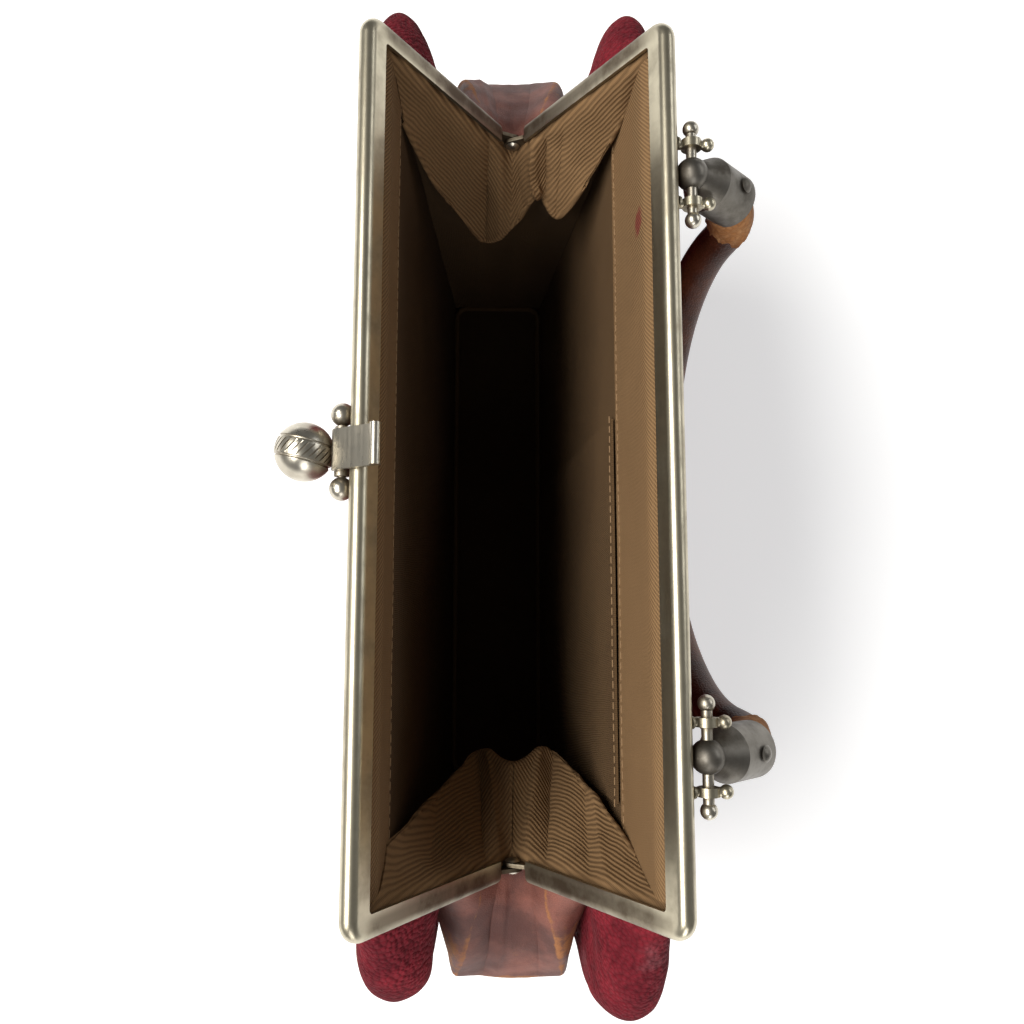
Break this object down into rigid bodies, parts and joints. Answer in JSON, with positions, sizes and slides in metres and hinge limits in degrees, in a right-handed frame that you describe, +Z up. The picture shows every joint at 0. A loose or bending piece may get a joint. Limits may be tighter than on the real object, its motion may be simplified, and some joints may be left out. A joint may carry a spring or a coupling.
{
  "type": "frame handbag",
  "caption": "Carpet handbag held open on a hinged two-half metal frame, with a ball clasp, a lined inside with a pocket, and a leather handle on one side.",
  "frame": {"origin": "centre of the bottom of the bounding box, on the surface that the bag stands on", "axes": "+X along the bag and its frame, +Y towards the handle side, -Y towards the clasp, +Z up"},
  "size_m": [0.335, 0.1404, 0.2216],
  "materials": {
    "nickel_steel": "worn nickel plate, warm and lightly tarnished",
    "spring_steel": "dull blued spring",
    "dull_steel": "bare grey sheet, dull",
    "grip_leather": "grained reddish brown, worn at the ends",
    "carpet": "short cut pile on a tan woven ground",
    "gusset_leather": "soft leather faded to dusty rose",
    "board": "stiff bookboard",
    "lining_cloth": "plain brown cotton",
    "lining_twill": "diagonal twill, khaki brown",
    "welt": "piped seam"
  },
  "bodies": {
    "bag": {"front_panel": "carpet", "rear_panel": "carpet", "gusset_left": "gusset_leather", "gusset_right": "gusset_leather", "base_panel": "gusset_leather", "base_board": "board", "base_lining": "lining_cloth", "base_welt": "welt", "front_lining": "lining_cloth", "rear_lining": "lining_cloth", "front_facing": "lining_twill", "rear_facing": "lining_twill", "pocket_panel": "lining_cloth", "gusset_lining_left": "lining_twill", "gusset_lining_right": "lining_twill"},
    "front_half": {"front_frame": "nickel_steel", "clasp_posts": "nickel_steel", "clasp_pin": "nickel_steel", "clasp_spring": "spring_steel"},
    "clasp": {"clasp_lever": "nickel_steel", "clasp_knob": "nickel_steel"},
    "rear_half": {"rear_frame": "nickel_steel", "hinge_pin_left": "nickel_steel", "hinge_pin_right": "nickel_steel", "handle_posts_left": "nickel_steel", "handle_posts_right": "nickel_steel", "handle_rod_left": "nickel_steel", "handle_rod_right": "nickel_steel"},
    "handle": {"handle_grip": "grip_leather", "handle_cap_left": "dull_steel", "handle_cap_right": "dull_steel", "cap_rivet_left": "nickel_steel", "cap_rivet_right": "nickel_steel"}
  },
  "joints": [
    {"name": "rear_fold", "type": "hinge", "parent": "bag", "child": "rear_half", "pos_m": [0, -0.00488, 0.153], "axis": [1, 0, 0], "range_deg": [0, 33.24], "deforming": ["rear_panel"]},
    {"name": "front_fold", "type": "hinge", "parent": "bag", "child": "front_half", "pos_m": [0, -0.00488, 0.153], "axis": [-1, 0, 0], "range_deg": [0, 33.24]},
    {"name": "clasp_press", "type": "hinge", "parent": "front_half", "child": "clasp", "pos_m": [0, -0.05204, 0.20853], "axis": [1, 0, 0], "range_deg": [0, 20], "stiffness_Nm_per_rad": 0.03, "springref_deg": -11.46},
    {"name": "handle_swing", "type": "hinge", "parent": "rear_half", "child": "handle", "pos_m": [0, 0.04428, 0.20866], "axis": [1, 0, 0], "range_deg": [0, 125]}
  ],
  "couplings": [
    {"joint": "front_fold", "follows": "rear_fold", "ratio": 1}
  ]
}
